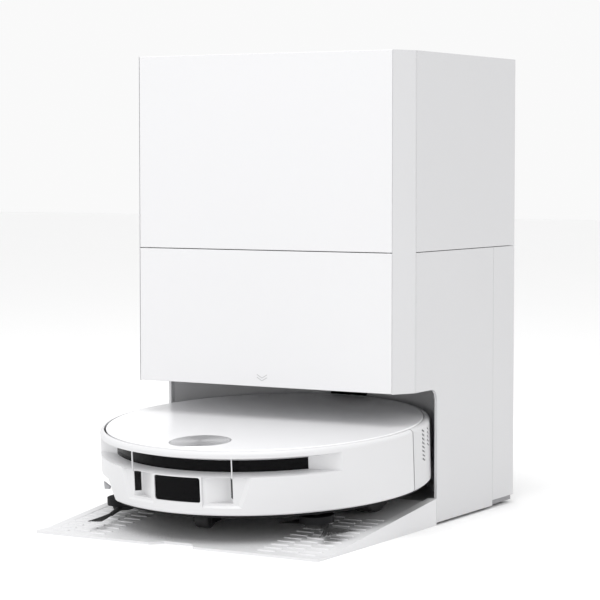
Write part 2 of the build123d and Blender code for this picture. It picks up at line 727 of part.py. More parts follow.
def brushes():
    roller = rod_x(BRUSH_R - 4, (-90, 90), BRUSH_Y, BRUSH_Z) + rod_x(3, (-96, 96), BRUSH_Y, BRUSH_Z)
    for i in range(6):
        blade = Pos(0, BRUSH_Y, BRUSH_Z) * Rot(60 * i, 0, 0) * Pos(0, 0, BRUSH_R - 4) * Box(178, 2.4, 8)
        roller += blade
    keep("main_brush", roller, on_robot=True)
    guard = block((-102, 102), (-46, 10), (6, 8.9)) - block((-91, 91), (-38, 2), (0, 20))
    for side in (-1, 1):
        guard += block((side * 91.5, side * 98), (-26, -10), (7, 23))
    guard -= rod_x(3 + RUN, (-110, 110), BRUSH_Y, BRUSH_Z)
    keep("brush_cover", guard, on_robot=True)
    for name, side in (("left", -1), ("right", 1)):
        at = (side * SIDE_BRUSH[0], SIDE_BRUSH[1])
        star = disc(12, (3.4, 8.5), at) + disc(4, (8, 20), at)
        reach = SIDE_BRUSH_REACH[name]
        for i in range(2):
            turn = Pos(at[0], at[1], 4.4) * Rot(0, 0, SIDE_BRUSH_TURN[name] + 180 * i)
            star += turn * Pos(18, 0, 0) * Box(30, 5, 2.0)
            star += turn * Pos(reach / 2 + 10, 0, -0.6) * Box(reach - 20, 3.0, 1.0)
        keep("side_brush_" + name, star, on_robot=True)


def mops():
    carriage = block((-90, 90), (84, 100), (14.5, 20))
    for side, name in ((-1, "left"), (1, "right")):
        at = (side * MOP[0], MOP[1])
        carriage += disc(18, (14.5, 22), at)
        carriage -= disc(6 + RUN, (10, 19), at)
        plate = disc(54, (4.2, 7), at) + disc(6, (6, 18.6), at)
        keep(name + "_mop_plate", plate, on_robot=True)
        pad = disc(MOP_R, (0.5, 4.0), at)
        keep(name + "_mop_pad", pad, on_robot=True)
    keep("mop_lift_frame", carriage, on_robot=True)


def robot_internals():
    tray = block((-80, 80), (18, 110), (30, 81.5)) - block((-78, 78), (20, 108), (32, 90))
    tray -= block((-18, 18), (16, 22), (40, 60))
    keep("dustbin", tray, on_robot=True)
    filter_block = block((-60, 60), (98, 107.6), (40, 76))
    for i in range(18):
        x = -57 + 6.6 * i
        filter_block -= block((x, x + 2.2), (96, 103), (43, 73))
    keep("dust_filter", filter_block, on_robot=True)
    pack = fillet(block((-52, 52), (118, 157), (26, 70)).edges().filter_by(Axis.Y), 8)
    keep("battery", pack, on_robot=True)
    keep("suction_fan", impeller(27.0, (44, 74), 5.0, 9, (0.0, -52.0)), on_robot=True)
    board = block((40, 84), (-96, -44), (58, 59.6))
    for x, y, size in ((52, -80, 9), (70, -66, 6), (54, -56, 5)):
        board += block((x - size, x + size), (y - size * 0.8, y + size * 0.8), (59, 63))
    keep("main_board", board, on_robot=True)
    coils = []
    for side in (-1, 1):
        points = [(0, 0)]
        for i in range(7):
            points += [(2.2, 1.6 * i), (3.2, 1.6 * i + 0.8)]
        points += [(2.2, 11.2), (0, 11.2)]
        coil = revolve(Plane.XZ * Polygon(*points, align=None), axis=Axis.Z)
        coils.append(Pos(side * 95, -130.2, 46) * Rot(90, 0, 0) * coil)
    keep("bumper_springs", Compound([s for c in coils for s in c.solids()]), on_robot=True)


def build():
    upper_housing()
    lower_housing()
    back_cover()
    base_screws()
    base_frame()
    feet()
    keep("left_pillar", pillar(-1))
    keep("right_pillar", pillar(1))
    front_panels()
    ramp_tray()
    washboard()
    dust_parts()
    blower()
    service_parts()
    tank(-1, "clean_tank")
    tank(1, "dirty_tank")
    bumper()
    windows()
    rear_shell()
    top_parts()
    chassis()
    camera_module()
    lidar()
    wheel_set(-1, "left")
    wheel_set(1, "right")
    caster()
    brushes()
    mops()
    robot_internals()


build()
os.makedirs("parts", exist_ok=True)
for node, shape in PARTS.items():
    export_step(shape, f"parts/{node}.step")
print(len(PARTS), "pieces written")
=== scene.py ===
"""Finishes, soft parts and moulded detail for a robot vacuum in its base station."""
import json
import math
import random

import bmesh
import bpy
from bpy.props import FloatProperty, FloatVectorProperty, IntProperty, PointerProperty
from mathutils import Matrix, Vector, noise


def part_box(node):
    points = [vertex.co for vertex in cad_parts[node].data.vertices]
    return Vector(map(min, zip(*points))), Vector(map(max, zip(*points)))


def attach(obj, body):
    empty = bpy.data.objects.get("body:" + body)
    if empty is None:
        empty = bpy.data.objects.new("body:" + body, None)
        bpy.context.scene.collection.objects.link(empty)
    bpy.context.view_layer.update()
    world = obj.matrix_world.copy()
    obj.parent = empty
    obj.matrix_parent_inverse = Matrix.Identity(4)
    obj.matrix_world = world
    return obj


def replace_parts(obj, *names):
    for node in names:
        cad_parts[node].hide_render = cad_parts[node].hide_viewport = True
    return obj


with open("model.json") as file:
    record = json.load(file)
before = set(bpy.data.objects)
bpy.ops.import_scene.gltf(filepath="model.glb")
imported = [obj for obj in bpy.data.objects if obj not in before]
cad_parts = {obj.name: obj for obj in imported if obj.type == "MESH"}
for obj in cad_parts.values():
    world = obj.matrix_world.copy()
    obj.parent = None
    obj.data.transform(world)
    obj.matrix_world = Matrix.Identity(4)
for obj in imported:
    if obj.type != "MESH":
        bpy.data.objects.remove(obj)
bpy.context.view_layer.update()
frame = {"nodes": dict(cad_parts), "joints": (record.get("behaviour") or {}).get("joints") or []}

bl_info = {
    "name": "Robot vacuum and base station",
    "version": (1, 0, 0),
    "blender": (4, 5, 0),
    "location": "3D View > Sidebar > Robot vacuum",
    "description": "Finishes, soft parts and moulded detail for a robot vacuum in its station",
    "category": "Object",
}

MM = 0.001
JOINTS = {joint["name"]: joint for joint in frame["joints"]}
NODES = frame["nodes"]

# The robot's own frame: its axis, with the wheels' plane at 0 and its nose to -Y.
UP = Vector(JOINTS["lidar_spin"]["axis"])
AFT = Vector(JOINTS["bumper_press"]["axis"])
LIDAR_PLACE = Vector((0, -116, 70)) * MM
ROBOT = Matrix((AFT.cross(UP), AFT, UP)).transposed().to_4x4()
ROBOT.translation = Vector(JOINTS["lidar_spin"]["pos_m"]) - ROBOT @ LIDAR_PLACE


def mm(*values):
    """A point given in millimetres."""
    return Vector(values) * MM


def on_robot(x, y, z):
    """A place in the robot's own frame, in millimetres."""
    return ROBOT @ Matrix.Translation(mm(x, y, z))


# Shader arithmetic


class Signal:
    """A number, colour or vector that a node gives, ready for arithmetic."""

    def __init__(self, finish, socket):
        self.finish = finish
        self.socket = socket

    def math(self, operation, *terms):
        return self.finish.add("ShaderNodeMath", {"operation": operation}, dict(enumerate(terms)))

    def __add__(self, other):
        return self.math("ADD", self, other)

    __radd__ = __add__

    def __sub__(self, other):
        return self.math("SUBTRACT", self, other)

    def __rsub__(self, other):
        return self.math("SUBTRACT", other, self)

    def __mul__(self, other):
        return self.math("MULTIPLY", self, other)

    __rmul__ = __mul__

    def __gt__(self, other):
        return self.math("GREATER_THAN", self, other)

    def __lt__(self, other):
        return self.math("LESS_THAN", self, other)

    def __abs__(self):
        return self.math("ABSOLUTE", self)

    def sine(self):
        return self.math("SINE", self)

    def ramp(self, low, high):
        """0 below low, 1 above high, smooth between."""
        limits = {"Value": self, "From Min": low, "From Max": high}
        return self.finish.add("ShaderNodeMapRange", {"interpolation_type": "SMOOTHSTEP"}, limits)


class Finish:
    """A procedural material on one Principled shader."""

    def __init__(self, name, **constants):
        self.material = bpy.data.materials.new(name)
        self.material.use_nodes = True
        self.tree = self.material.node_tree
        self.shader = self.tree.nodes["Principled BSDF"]
        for socket, value in constants.items():
            self.shader.inputs[socket.replace("_", " ")].default_value = value
        self.place = self.add("ShaderNodeTexCoord", output="Object")

    def add(self, kind, settings=None, inputs=None, output=0):
        """A node: its settings first, then the values or links of its sockets."""
        node = self.tree.nodes.new(kind)
        for name, value in (settings or {}).items():
            setattr(node, name, value)
        for name, value in (inputs or {}).items():
            self.feed(node.inputs[name], value)
        return Signal(self, node.outputs[output])

    def feed(self, socket, value):
        if isinstance(value, Signal):
            self.tree.links.new(value.socket, socket)
        else:
            socket.default_value = value

    def surface(self, **signals):
        """Links what varies over the surface to the shader."""
        for socket, value in signals.items():
            self.feed(self.shader.inputs[socket.replace("_", " ")], value)

    def noise(self, scale, detail=2.0, stretch=(1, 1, 1)):
        """Cloudy noise, with this many lumps in a metre."""
        place = self.add(
            "ShaderNodeVectorMath", {"operation": "MULTIPLY"}, {0: self.place, 1: stretch}
        )
        return self.add("ShaderNodeTexNoise", None, {"Vector": place, "Scale": scale, "Detail": detail})

    def cells(self, scale, feature="F1"):
        settings = {"feature": feature}
        return self.add("ShaderNodeTexVoronoi", settings, {"Vector": self.place, "Scale": scale})

    def axis(self, letter):
        """One coordinate of the surface, in metres."""
        return self.add("ShaderNodeSeparateXYZ", None, {"Vector": self.place}, letter)

    def distance_from(self, centre, axis):
        """The distance from a line through centre along axis."""
        away = self.add("ShaderNodeVectorMath", {"operation": "SUBTRACT"}, {0: self.place, 1: centre})
        across = self.add("ShaderNodeVectorMath", {"operation": "CROSS_PRODUCT"}, {0: away, 1: axis})
        return self.add("ShaderNodeVectorMath", {"operation": "LENGTH"}, {0: across}, "Value")

    def mixed(self, factor, first, second):
        """A colour between two colours."""
        settings = {"data_type": "RGBA"}
        colours = {0: factor, 6: first, 7: second}
        return self.add("ShaderNodeMix", settings, colours, 2)

    def relief(self, height, depth, strength=1.0):
        """Small relief in the surface, depth metres high."""
        bump = {"Height": height, "Distance": depth, "Strength": strength}
        self.surface(Normal=self.add("ShaderNodeBump", None, bump))


def shade(colour, factor):
    """A colour made darker or lighter, with alpha."""
    return tuple(min(1.0, channel * factor) for channel in colour[:3]) + (1.0,)


# Finishes


def moulded(name, colour, roughness, grain=1700, depth=0.02, spread=0.015, index=1.47):
    """Moulded plastic: fine even grain, faintly uneven colour and gloss."""
    finish = Finish(name, IOR=index)
    broad = finish.noise(9, 3)
    fine = finish.noise(grain, 1)
    finish.surface(
        Base_Color=finish.mixed(broad, shade(colour, 1 - spread), shade(colour, 1 + spread)),
        Roughness=roughness + 0.08 * (broad - 0.5) + 0.10 * (fine - 0.5),
    )
    finish.relief(fine, depth * MM)
    return finish.material


def gloss_panel(name, colour):
    """A painted panel under clear lacquer, with faint orange peel."""
    finish = Finish(name, IOR=1.5, Coat_Roughness=0.06)
    peel = finish.noise(260, 2)
    broad = finish.noise(5, 2)
    finish.surface(
        Base_Color=finish.mixed(broad, shade(colour, 0.99), shade(colour, 1.01)),
        Roughness=0.30 + 0.05 * (peel - 0.5),
        Coat_Weight=0.35 + 0.1 * (broad - 0.5),
    )
    finish.relief(peel, 0.012 * MM)
    return finish.material


def ramp_plastic(name, white, grey):
    """The ramp: white ribbed tracks beside a smoother middle, greyed with painted shade and a painted
    reflection of the robot's dark underside.
    """
    finish = Finish(name, IOR=1.47)
    fine = finish.noise(1500, 1)
    # This mask greys the middle's base colour: painted shade and a painted reflection of the robot's dark
    # underside.
    middle = (abs(finish.axis("X")) < 0.0885) * (finish.axis("Y") > -0.2029)
    finish.surface(
        Base_Color=finish.mixed(middle, shade(white, 1), shade(grey, 1)),
        Roughness=0.42 - 0.14 * middle + 0.08 * (fine - 0.5),
    )
    finish.relief(fine, 0.03 * MM)
    return finish.material


def spun_metal(name, colour, centre, axis):
    """Metal turned on a lathe: fine rings round its centre."""
    finish = Finish(name, IOR=1.5, Anisotropic=0.85)
    radius = finish.distance_from(centre, axis)
    wander = 0.0004 * finish.noise(60, 2)
    rings = ((radius + wander) * 14000).sine()
    coarse = (radius * 4100).sine()
    finish.surface(
        Base_Color=finish.mixed(0.5 + 0.5 * coarse, shade(colour, 0.94), shade(colour, 1.04)),
        Roughness=0.30 + 0.05 * rings,
        Metallic=0.96 + 0.03 * coarse,
    )
    finish.relief(rings + 0.6 * coarse, 0.012 * MM)
    return finish.material


def metal(name, colour, roughness, stretch=(1, 1, 12)):
    """Drawn or plated metal with fine lines."""
    finish = Finish(name, IOR=1.5)
    lines = finish.noise(900, 2, stretch)
    finish.surface(
        Base_Color=finish.mixed(lines, shade(colour, 0.93), shade(colour, 1.05)),
        Roughness=roughness + 0.14 * (lines - 0.5),
        Metallic=1.0 - 0.04 * lines,
    )
    finish.relief(lines, 0.01 * MM)
    return finish.material


def dark_window(name, colour, alpha):
    """Black infrared-clear plastic, polished, just see-through."""
    finish = Finish(name, IOR=1.16, Alpha=alpha)
    film = finish.noise(18, 2)
    finish.surface(
        Base_Color=finish.mixed(film, shade(colour, 0.8), shade(colour, 1.3)),
        Roughness=0.12 + 0.05 * film,
    )
    return finish.material


def clear_plastic(name, colour, alpha):
    """See-through tank plastic with a faint moulded ripple."""
    finish = Finish(name, IOR=1.49, Alpha=alpha)
    ripple = finish.noise(45, 2)
    finish.surface(
        Base_Color=finish.mixed(ripple, shade(colour, 0.96), shade(colour, 1.04)),
        Roughness=0.08 + 0.06 * ripple,
    )
    finish.relief(ripple, 0.08 * MM)
    return finish.material


def rubber(name, colour, grain=700):
    """Soft rubber, matt and slightly dusty on what stands proud."""
    finish = Finish(name, IOR=1.45)
    dust = finish.noise(140, 4)
    fine = finish.noise(grain, 2)
    finish.surface(
        Base_Color=finish.mixed(dust.ramp(0.35, 0.75), shade(colour, 0.85), shade(colour, 1.7)),
        Roughness=0.72 + 0.16 * (dust - 0.5),
    )
    finish.relief(fine, 0.05 * MM)
    return finish.material


def pile(name, colour):
    """Short looped microfibre pile, with painted shade in its hollows."""
    finish = Finish(name, IOR=1.4, Sheen_Weight=0.35, Sheen_Roughness=0.5)
    loop_cells_and_painted_shade = finish.cells(520)
    broad = finish.noise(60, 3)
    # The colour darkens where the cell relief is lowest: painted shade in the hollows of the pile.
    finish.surface(
        Base_Color=finish.mixed(loop_cells_and_painted_shade.ramp(0.1, 0.9), shade(colour, 1.12), shade(colour, 0.7)),
        Roughness=0.9 + 0.08 * (broad - 0.5),
    )
    finish.relief(broad - loop_cells_and_painted_shade, 0.9 * MM)
    return finish.material


def non_woven(name, colour):
    """Thin bonded felt, pressed with a dot pattern."""
    finish = Finish(name, IOR=1.4, Sheen_Weight=0.2)
    fibres = finish.noise(700, 4, (1, 0.35, 1))
    x = (finish.axis("X") * 2200).sine()
    z = (finish.axis("Z") * 2200).sine()
    dots = (x * z).ramp(0.45, 0.9)
    finish.surface(
        Base_Color=finish.mixed(fibres, shade(colour, 0.88), shade(colour, 1.05)),
        Roughness=0.88 + 0.1 * (fibres - 0.5),
    )
    finish.relief(fibres - 0.7 * dots, 0.16 * MM)
    return finish.material


def pressed_card(name, colour):
    finish = Finish(name, IOR=1.4)
    flecks = finish.noise(420, 5)
    finish.surface(
        Base_Color=finish.mixed(flecks.ramp(0.3, 0.7), shade(colour, 0.82), shade(colour, 1.06)),
        Roughness=0.82 + 0.1 * (flecks - 0.5),
    )
    finish.relief(flecks, 0.06 * MM)
    return finish.material


def circuit(name, colour, copper):
    """A board: tracks showing under solder mask."""
    finish = Finish(name, IOR=1.5)
    paths = finish.add(
        "ShaderNodeTexVoronoi",
        {"distance": "CHEBYCHEV", "feature": "DISTANCE_TO_EDGE"},
        {"Vector": finish.place, "Scale": 190.0},
    )
    track = paths < 0.05
    finish.surface(
        Base_Color=finish.mixed(track, shade(colour, 1), shade(copper, 1)),
        Roughness=0.34 - 0.08 * track,
    )
    finish.relief(track, 0.04 * MM)
    return finish.material


def bristle(name, colour):
    finish = Finish(name, IOR=1.5)
    tint = finish.noise(420, 2)
    finish.surface(
        Base_Color=finish.mixed(tint, shade(colour, 0.7), shade(colour, 2.2)),
        Roughness=0.42 + 0.2 * (tint - 0.5),
    )
    return finish.material


def floor_paint(name, colour):
    finish = Finish(name, IOR=1.4)
    broad = finish.noise(1.5, 2)
    finish.surface(
        Base_Color=finish.mixed(broad, shade(colour, 0.995), shade(colour, 1.0)),
        Roughness=0.8 + 0.05 * broad,
    )
    return finish.material


# Mesh building


def piece(name, mesh, material, body):
    """A finished piece that rides on a body."""
    data = bpy.data.meshes.new(name)
    mesh.to_mesh(data)
    mesh.free()
    data.materials.append(material)
    made = bpy.data.objects.new(name, data)
    bpy.context.scene.collection.objects.link(made)
    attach(made, body)
    return made


def soften(made, angle=35):
    """Smooth shading with edges sharper than angle, in degrees, kept."""
    made.data.shade_smooth()
    made.data.set_sharp_from_angle(angle=math.radians(angle))
    return made


def lathe(mesh, profile, steps, place=Matrix()):
    """A profile of radius and height in millimetres, turned about Z."""
    rings = []
    for radius, height in profile:
        if radius < 1e-6:
            rings.append([mesh.verts.new(place @ mm(0, 0, height))])
            continue
        turn = [2 * math.pi * i / steps for i in range(steps)]
        ring = [place @ mm(radius * math.cos(a), radius * math.sin(a), height) for a in turn]
        rings.append([mesh.verts.new(point) for point in ring])
    for low, high in zip(rings, rings[1:]):
        for i in range(steps):
            k = i + 1
            corners = [low[i % len(low)], low[k % len(low)], high[k % len(high)], high[i % len(high)]]
            mesh.faces.new(list(dict.fromkeys(corners)))


def tube(mesh, path, radii, sides=6):
    """A round bar along a path of points in metres, closed at both ends."""
    rings = []
    for i, point in enumerate(path):
        ahead = path[min(i + 1, len(path) - 1)] - path[max(i - 1, 0)]
        turn = ahead.to_track_quat("Z", "Y")
        ring = []
        for k in range(sides):
            angle = 2 * math.pi * k / sides
            offset = turn @ Vector((math.cos(angle), math.sin(angle), 0)) * radii[i]
            ring.append(mesh.verts.new(point + offset))
        rings.append(ring)
    for low, high in zip(rings, rings[1:]):
        for k in range(sides):
            mesh.faces.new((low[k], low[(k + 1) % sides], high[(k + 1) % sides], high[k]))
    mesh.faces.new(list(reversed(rings[0])))
    mesh.faces.new(rings[-1])


def bar(mesh, size, place, rounding):
    """A block of a size in millimetres with rounded edges, centred on place."""
    made = bmesh.ops.create_cube(mesh, size=1.0, matrix=place @ Matrix.Diagonal((*mm(*size), 1)))
    edges = {edge for vert in made["verts"] for edge in vert.link_edges}
    bmesh.ops.bevel(mesh, geom=list(edges), offset=rounding * MM, segments=2, profile=0.5, affect="EDGES")


def slab(mesh, outline, depth, place):
    """A flat outline in millimetres, raised by depth along its own Z."""
    low = [mesh.verts.new(place @ mm(x, y, 0)) for x, y in outline]
    high = [mesh.verts.new(place @ mm(x, y, depth)) for x, y in outline]
    mesh.faces.new(list(reversed(low)))
    mesh.faces.new(high)
    for i in range(len(outline)):
        k = (i + 1) % len(outline)
        mesh.faces.new((low[i], low[k], high[k], high[i]))


def skin(mesh, rings, closed=True):
    """Faces between rows of vertices."""
    for low, high in zip(rings, rings[1:]):
        last = len(low) if closed else len(low) - 1
        for i in range(last):
            k = (i + 1) % len(low)
            mesh.faces.new((low[i], low[k], high[k], high[i]))


def wear(node, material):
    """Gives a CAD node its finish."""
    data = NODES[node].data
    data.materials.clear()
    data.materials.append(material)


def height_on(node, x, y):
    """The height of a node's upper surface above a point of the floor, in metres."""
    hit, place, _, _ = NODES[node].ray_cast(Vector((x, y, 1.0)), Vector((0, 0, -1)))
    if not hit:
        raise RuntimeError(f"nothing of {node} is above {x:.3f}, {y:.3f}")
    return place.z


# Sizes and colours that a user would change


class ShellColours(bpy.types.PropertyGroup):
    """Colours of the mouldings."""

    white: FloatVectorProperty(
        name="Shell white", description="Matt white mouldings", subtype="COLOR", default=(0.63, 0.63, 0.64)
    )
    panel: FloatVectorProperty(
        name="Panel white", description="Front panels and top cover",
        subtype="COLOR", default=(0.70, 0.70, 0.71)
    )
    grey: FloatVectorProperty(
        name="Inner grey", description="Inner mouldings", subtype="COLOR", default=(0.30, 0.30, 0.31)
    )
    dark: FloatVectorProperty(
        name="Chassis black", description="Underside mouldings",
        subtype="COLOR", default=(0.010, 0.010, 0.011)
    )
    window: FloatVectorProperty(
        name="Window black", description="Sensor and camera windows",
        subtype="COLOR", default=(0.0025, 0.0025, 0.003)
    )
    # Grey for the ramp's middle: painted shade and a painted reflection of the robot's dark underside.
    ramp_middle_painted_shade: FloatVectorProperty(
        name="Ramp middle", description="Smooth middle of the ramp",
        subtype="COLOR", default=(0.72, 0.72, 0.73)
    )


class RibSizes(bpy.types.PropertyGroup):
    """Ribs of the ramp's wheel tracks."""

    pitch: FloatProperty(
        name="Pitch", description="From one rib to the next", default=12.75 * MM, unit="LENGTH", precision=5
    )
    width: FloatProperty(
        name="Width", description="Across a rib", default=3.0 * MM, unit="LENGTH", precision=5
    )
    height: FloatProperty(
        name="Height", description="How far a rib stands up", default=1.0 * MM, unit="LENGTH", precision=5
    )


class TuftSizes(bpy.types.PropertyGroup):
    """Bristle tufts of the side brushes."""

    count: IntProperty(name="Bristles", description="Bristles in a tuft", default=46, min=4)
    left_reach: FloatProperty(
        name="Left reach", description="From the hub's centre to the tips",
        default=66 * MM, unit="LENGTH", precision=5
    )
    right_reach: FloatProperty(
        name="Right reach", description="From the hub's centre to the tips",
        default=42 * MM, unit="LENGTH", precision=5
    )
    thickness: FloatProperty(
        name="Thickness", description="Of one bristle", default=0.5 * MM, unit="LENGTH", precision=5
    )


class StudioLight(bpy.types.PropertyGroup):
    """The stage's light."""

    room: FloatProperty(
        name="Room", description="Brightness of the white room all round", default=0.95, min=0
    )
    key: FloatProperty(
        name="Key", description="Power of the light in front on the left", default=1.0, min=0, unit="POWER"
    )
    top: FloatProperty(
        name="Top", description="Power of the light overhead", default=32.0, min=0, unit="POWER"
    )


class RobotVacuumSettings(bpy.types.PropertyGroup):
    """All settings of the object and its stage."""

    colours: PointerProperty(type=ShellColours)
    ribs: PointerProperty(type=RibSizes)
    tufts: PointerProperty(type=TuftSizes)
    light: PointerProperty(type=StudioLight)


def settings():
    return bpy.context.scene.robot_vacuum


def finishes():
    """Every finish by its name."""
    return {material.name: material for material in bpy.data.materials}


# Operators


class ROBOVAC_OT_finishes(bpy.types.Operator):
    """Makes the finishes and gives each CAD node its own"""

    bl_idname = "robovac.finishes"
    bl_label = "Finish the mouldings"

    def execute(self, context):
        colours = settings().colours
        button = on_robot(0, -128, 0).translation
        self.dress(moulded("white_shell", colours.white, 0.46), [
            "lower_housing", "upper_housing", "back_cover", "left_pillar", "right_pillar",
            "clean_tank_lid", "clean_tank_handle", "dirty_tank_lid", "dirty_tank_handle", "rear_shell",
        ])
        self.dress(moulded("bumper_white", shade(colours.panel, 0.96), 0.36, depth=0.01), ["bumper"])
        self.dress(gloss_panel("front_white", colours.panel), ["upper_front_panel", "dust_door"])
        # The top cover wears the panel white made a quarter lighter, a lit copy of the same white: painted
        # light on the robot's top.
        self.dress(gloss_panel("cover_white", shade(colours.panel, 1.25)), ["top_cover"])
        self.dress(ramp_plastic("tray_white", colours.panel, colours.ramp_middle_painted_shade), ["ramp_tray"])
        self.dress(moulded("rib_white", shade(colours.panel, 1.03), 0.40, depth=0.01), [])
        self.dress(moulded("inner_grey", colours.grey, 0.5), [
            "base_frame", "washboard", "dust_duct", "dock_impeller", "water_pump", "brush_cover",
            "left_mop_plate", "right_mop_plate", "suction_fan",
        ])
        self.dress(moulded("dark_chassis", colours.dark, 0.6, spread=0.15, index=1.25), [
            "chassis", "upper_frame", "dock_blower", "drying_fan", "power_supply", "power_inlet",
            "camera_module", "lidar_head", "left_wheel_arm", "right_wheel_arm",
            "caster_fork", "mop_lift_frame",
        ])
        self.dress(dark_window("black_window", colours.window, 0.97), ["ir_window"])
        self.dress(dark_window("camera_glass", colours.window, 0.86), ["camera_window", "sensor_window"])
        self.dress(clear_plastic("clear_tank", (0.74, 0.78, 0.80), 0.42), ["clean_tank"])
        self.dress(clear_plastic("smoke_tank", (0.16, 0.17, 0.18), 0.62), ["dirty_tank", "dustbin"])
        self.dress(spun_metal("button_metal", (0.62, 0.62, 0.63), button, UP), ["power_button"])
        self.dress(metal("contact_metal", (0.82, 0.74, 0.52), 0.25), ["charge_contacts"])
        self.dress(metal("screw_steel", (0.55, 0.55, 0.57), 0.32), ["dock_screws"])
        self.dress(metal("spring_steel", (0.62, 0.62, 0.64), 0.28), ["bumper_springs"])
        self.dress(rubber("tyre_rubber", (0.02, 0.02, 0.021)), [
            "left_drive_wheel", "right_drive_wheel", "caster_wheel", "dock_feet",
        ])
        self.dress(rubber("brush_rubber", (0.10, 0.11, 0.12)), ["main_brush"])
        self.dress(rubber("seal_rubber", (0.22, 0.22, 0.23), 1200), [])
        self.dress(bristle("bristle_black", (0.012, 0.011, 0.010)), ["side_brush_left", "side_brush_right"])
        self.dress(pile("mop_fabric", (0.50, 0.51, 0.53)), ["left_mop_pad", "right_mop_pad"])
        self.dress(non_woven("bag_fabric", (0.80, 0.79, 0.75)), ["dust_bag"])
        self.dress(pressed_card("card", (0.56, 0.47, 0.34)), ["bag_collar"])
        self.dress(non_woven("filter_paper", (0.85, 0.85, 0.80)), ["dust_filter"])
        self.dress(circuit("circuit_board", (0.01, 0.09, 0.04), (0.05, 0.20, 0.09)), ["main_board"])
        self.dress(moulded("battery_wrap", (0.03, 0.05, 0.16), 0.28, depth=0.01), ["battery"])
        self.dress(moulded("mark_grey", (0.42, 0.42, 0.43), 0.4), [])
        return {"FINISHED"}

    def dress(self, material, nodes):
        for node in nodes:
            wear(node, material)


class ROBOVAC_OT_door_mark(bpy.types.Operator):
    """Adds the double arrow at the foot of the dust door"""

    bl_idname = "robovac.door_mark"
    bl_label = "Door mark"

    def execute(self, context):
        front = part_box("dust_door")[0]
        half, drop, stroke, step = 6.3, 3.6, 0.75, 3.0
        arrow = [(-half, drop), (0, 0), (half, drop),
                 (half, drop + stroke), (0, stroke), (-half, drop + stroke)]
        mesh = bmesh.new()
        for i in range(2):
            place = Matrix.Translation((0, front.y, front.z + (6.0 + i * step) * MM))
            slab(mesh, arrow, 0.12, place @ Matrix.Rotation(math.radians(90), 4, "X"))
        soften(piece("door_arrow_mark", mesh, finishes()["mark_grey"], "door"))
        return {"FINISHED"}


class ROBOVAC_OT_ramp_ribs(bpy.types.Operator):
    """Adds the staggered ribs of the two wheel tracks"""

    bl_idname = "robovac.ramp_ribs"
    bl_label = "Ramp ribs"

    columns = ((92, 112, 0.0), (115, 135, 0.5), (138, 158, 0.0))
    first_row = -208.0
    last_row = -62.0

    def execute(self, context):
        ribs = settings().ribs
        for name, side in (("left", -1), ("right", 1)):
            mesh = bmesh.new()
            for start, end, stagger in self.columns:
                self.add_column(mesh, ribs, side * (start + end) / 2, end - start, stagger)
            soften(piece(f"{name}_track_ribs", mesh, finishes()["rib_white"], "station"), 60)
        return {"FINISHED"}

    def add_column(self, mesh, ribs, x, length, stagger):
        pitch = ribs.pitch / MM
        rows = int((self.last_row - self.first_row) / pitch - stagger) + 1
        for i in range(rows):
            y = self.first_row + pitch * (i + stagger)
            low = height_on("ramp_tray", x * MM, (y - 3) * MM)
            high = height_on("ramp_tray", x * MM, (y + 3) * MM)
            slope = math.atan2(high - low, 6 * MM)
            place = Matrix.Translation((x * MM, y * MM, (low + high) / 2)) @ Matrix.Rotation(slope, 4, "X")
            bar(mesh, (length, ribs.width / MM, 2 * ribs.height / MM), place, 0.7)


class ROBOVAC_OT_side_brushes(bpy.types.Operator):
    """Adds both side brushes: hub, ribbed rubber stems and fanned bristles"""

    bl_idname = "robovac.side_brushes"
    bl_label = "Side brushes"

    turns = {"left": -80.0, "right": -24.0}
    stems = {"left": (8.0, 32.0), "right": (8.0, 16.0)}
    fans = {"left": 0.20, "right": 0.72}

    def execute(self, context):
        for name in ("left", "right"):
            hub = Vector(JOINTS[f"{name}_side_brush_spin"]["pos_m"])
            place = ROBOT.copy()
            place.translation = hub
            rubber_parts = bmesh.new()
            hub_line = [(0, -2.4), (9.5, -2.4), (11.6, -1.6), (12, 0),
                        (11.4, 1.8), (7, 2.4), (4, 3), (4, 13), (0, 13)]
            lathe(rubber_parts, hub_line, 40, place)
            hairs = bmesh.new()
            source = random.Random(7 if name == "left" else 19)
            for i in range(2):
                turn = Matrix.Rotation(math.radians(self.turns[name] + 180 * i), 4, "Z")
                self.add_stem(rubber_parts, place @ turn, self.stems[name])
                self.add_tuft(hairs, place @ turn, source, name)
            body = f"{name}_side_brush"
            hub_piece = piece(
                f"{name}_brush_hub", rubber_parts, finishes()["tyre_rubber"], body
            )
            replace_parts(soften(hub_piece), f"side_brush_{name}")
            soften(piece(f"{name}_brush_bristles", hairs, finishes()["bristle_black"], body))
        return {"FINISHED"}

    def add_stem(self, mesh, place, span):
        """A bending rubber arm with ribs, from the hub to the tuft."""
        start, end = span
        steps = 24
        path = []
        radii = []
        for i in range(steps + 1):
            share = i / steps
            path.append(place @ mm(start + (end - start) * share, 0, 0.2 - 1.6 * share**2))
            radii.append((2.6 - 0.7 * share + 0.35 * (i % 3 == 0)) * MM)
        tube(mesh, path, radii, 10)

    def add_tuft(self, mesh, place, source, name):
        """Bristles that spread and droop from the end of a stem."""
        sizes = settings().tufts
        root = self.stems[name][1] - 2
        reach = getattr(sizes, f"{name}_reach") / MM
        fan = self.fans[name]
        count = round(sizes.count * (1 + 4 * fan))
        for _ in range(count):
            spread = source.uniform(-fan, fan)
            length = (reach - root) * source.uniform(0.86, 1.0) / math.cos(spread)
            sweep = 5.0 + source.uniform(-1.5, 1.5)
            side = source.uniform(-1.6, 1.6)
            lift = source.uniform(-0.6, 0.7)
            steps = 6
            path = []
            for i in range(steps + 1):
                share = i / steps
                along = root + length * share * math.cos(spread)
                across = side + length * share * math.sin(spread) - sweep * share * share
                path.append(place @ mm(min(along, reach), across, -1.2 + lift * (1 - share) - 1.0 * share))
            thickness = sizes.thickness / 2
            tube(mesh, path, [thickness * (1 - 0.5 * i / steps) for i in range(steps + 1)], 4)


